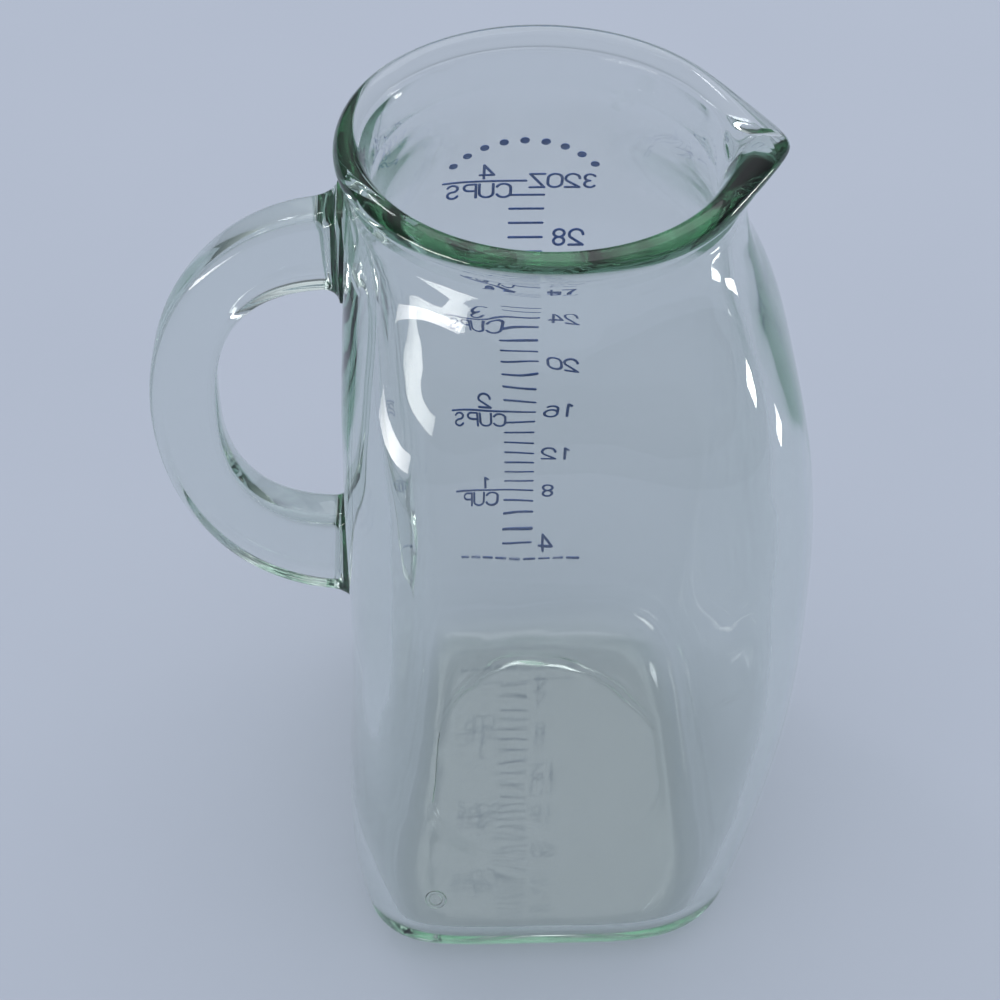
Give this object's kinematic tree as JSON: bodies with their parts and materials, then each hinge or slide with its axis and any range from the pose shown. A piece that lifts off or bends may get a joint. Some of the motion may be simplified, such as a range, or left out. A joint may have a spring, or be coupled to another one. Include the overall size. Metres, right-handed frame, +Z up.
{
  "type": "baby formula pitcher",
  "caption": "Clear glass measuring pitcher with a D handle, round mouth with pouring lip, squarish body and a blue enamel ounce and cup scale.",
  "frame": {"origin": "on the surface the pitcher stands on, under the centre of its round mouth", "axes": "+X towards the pouring lip, -X towards the handle, +Y towards the printed panel, +Z up"},
  "size_m": [0.1345, 0.1055, 0.185],
  "materials": {
    "glass": "smooth clear soda-lime glass with a faint green tint",
    "enamel": "thin dark blue fired enamel"
  },
  "bodies": {
    "root": {"glass_vessel": "glass", "glass_handle": "glass", "ounce_ticks": "enamel", "ounce_numerals": "enamel", "ounce_unit": "enamel", "cup_rules": "enamel", "cup_numerals": "enamel", "cup_words": "enamel", "dot_arch": "enamel", "foot_rule": "enamel"}
  },
  "joints": []
}
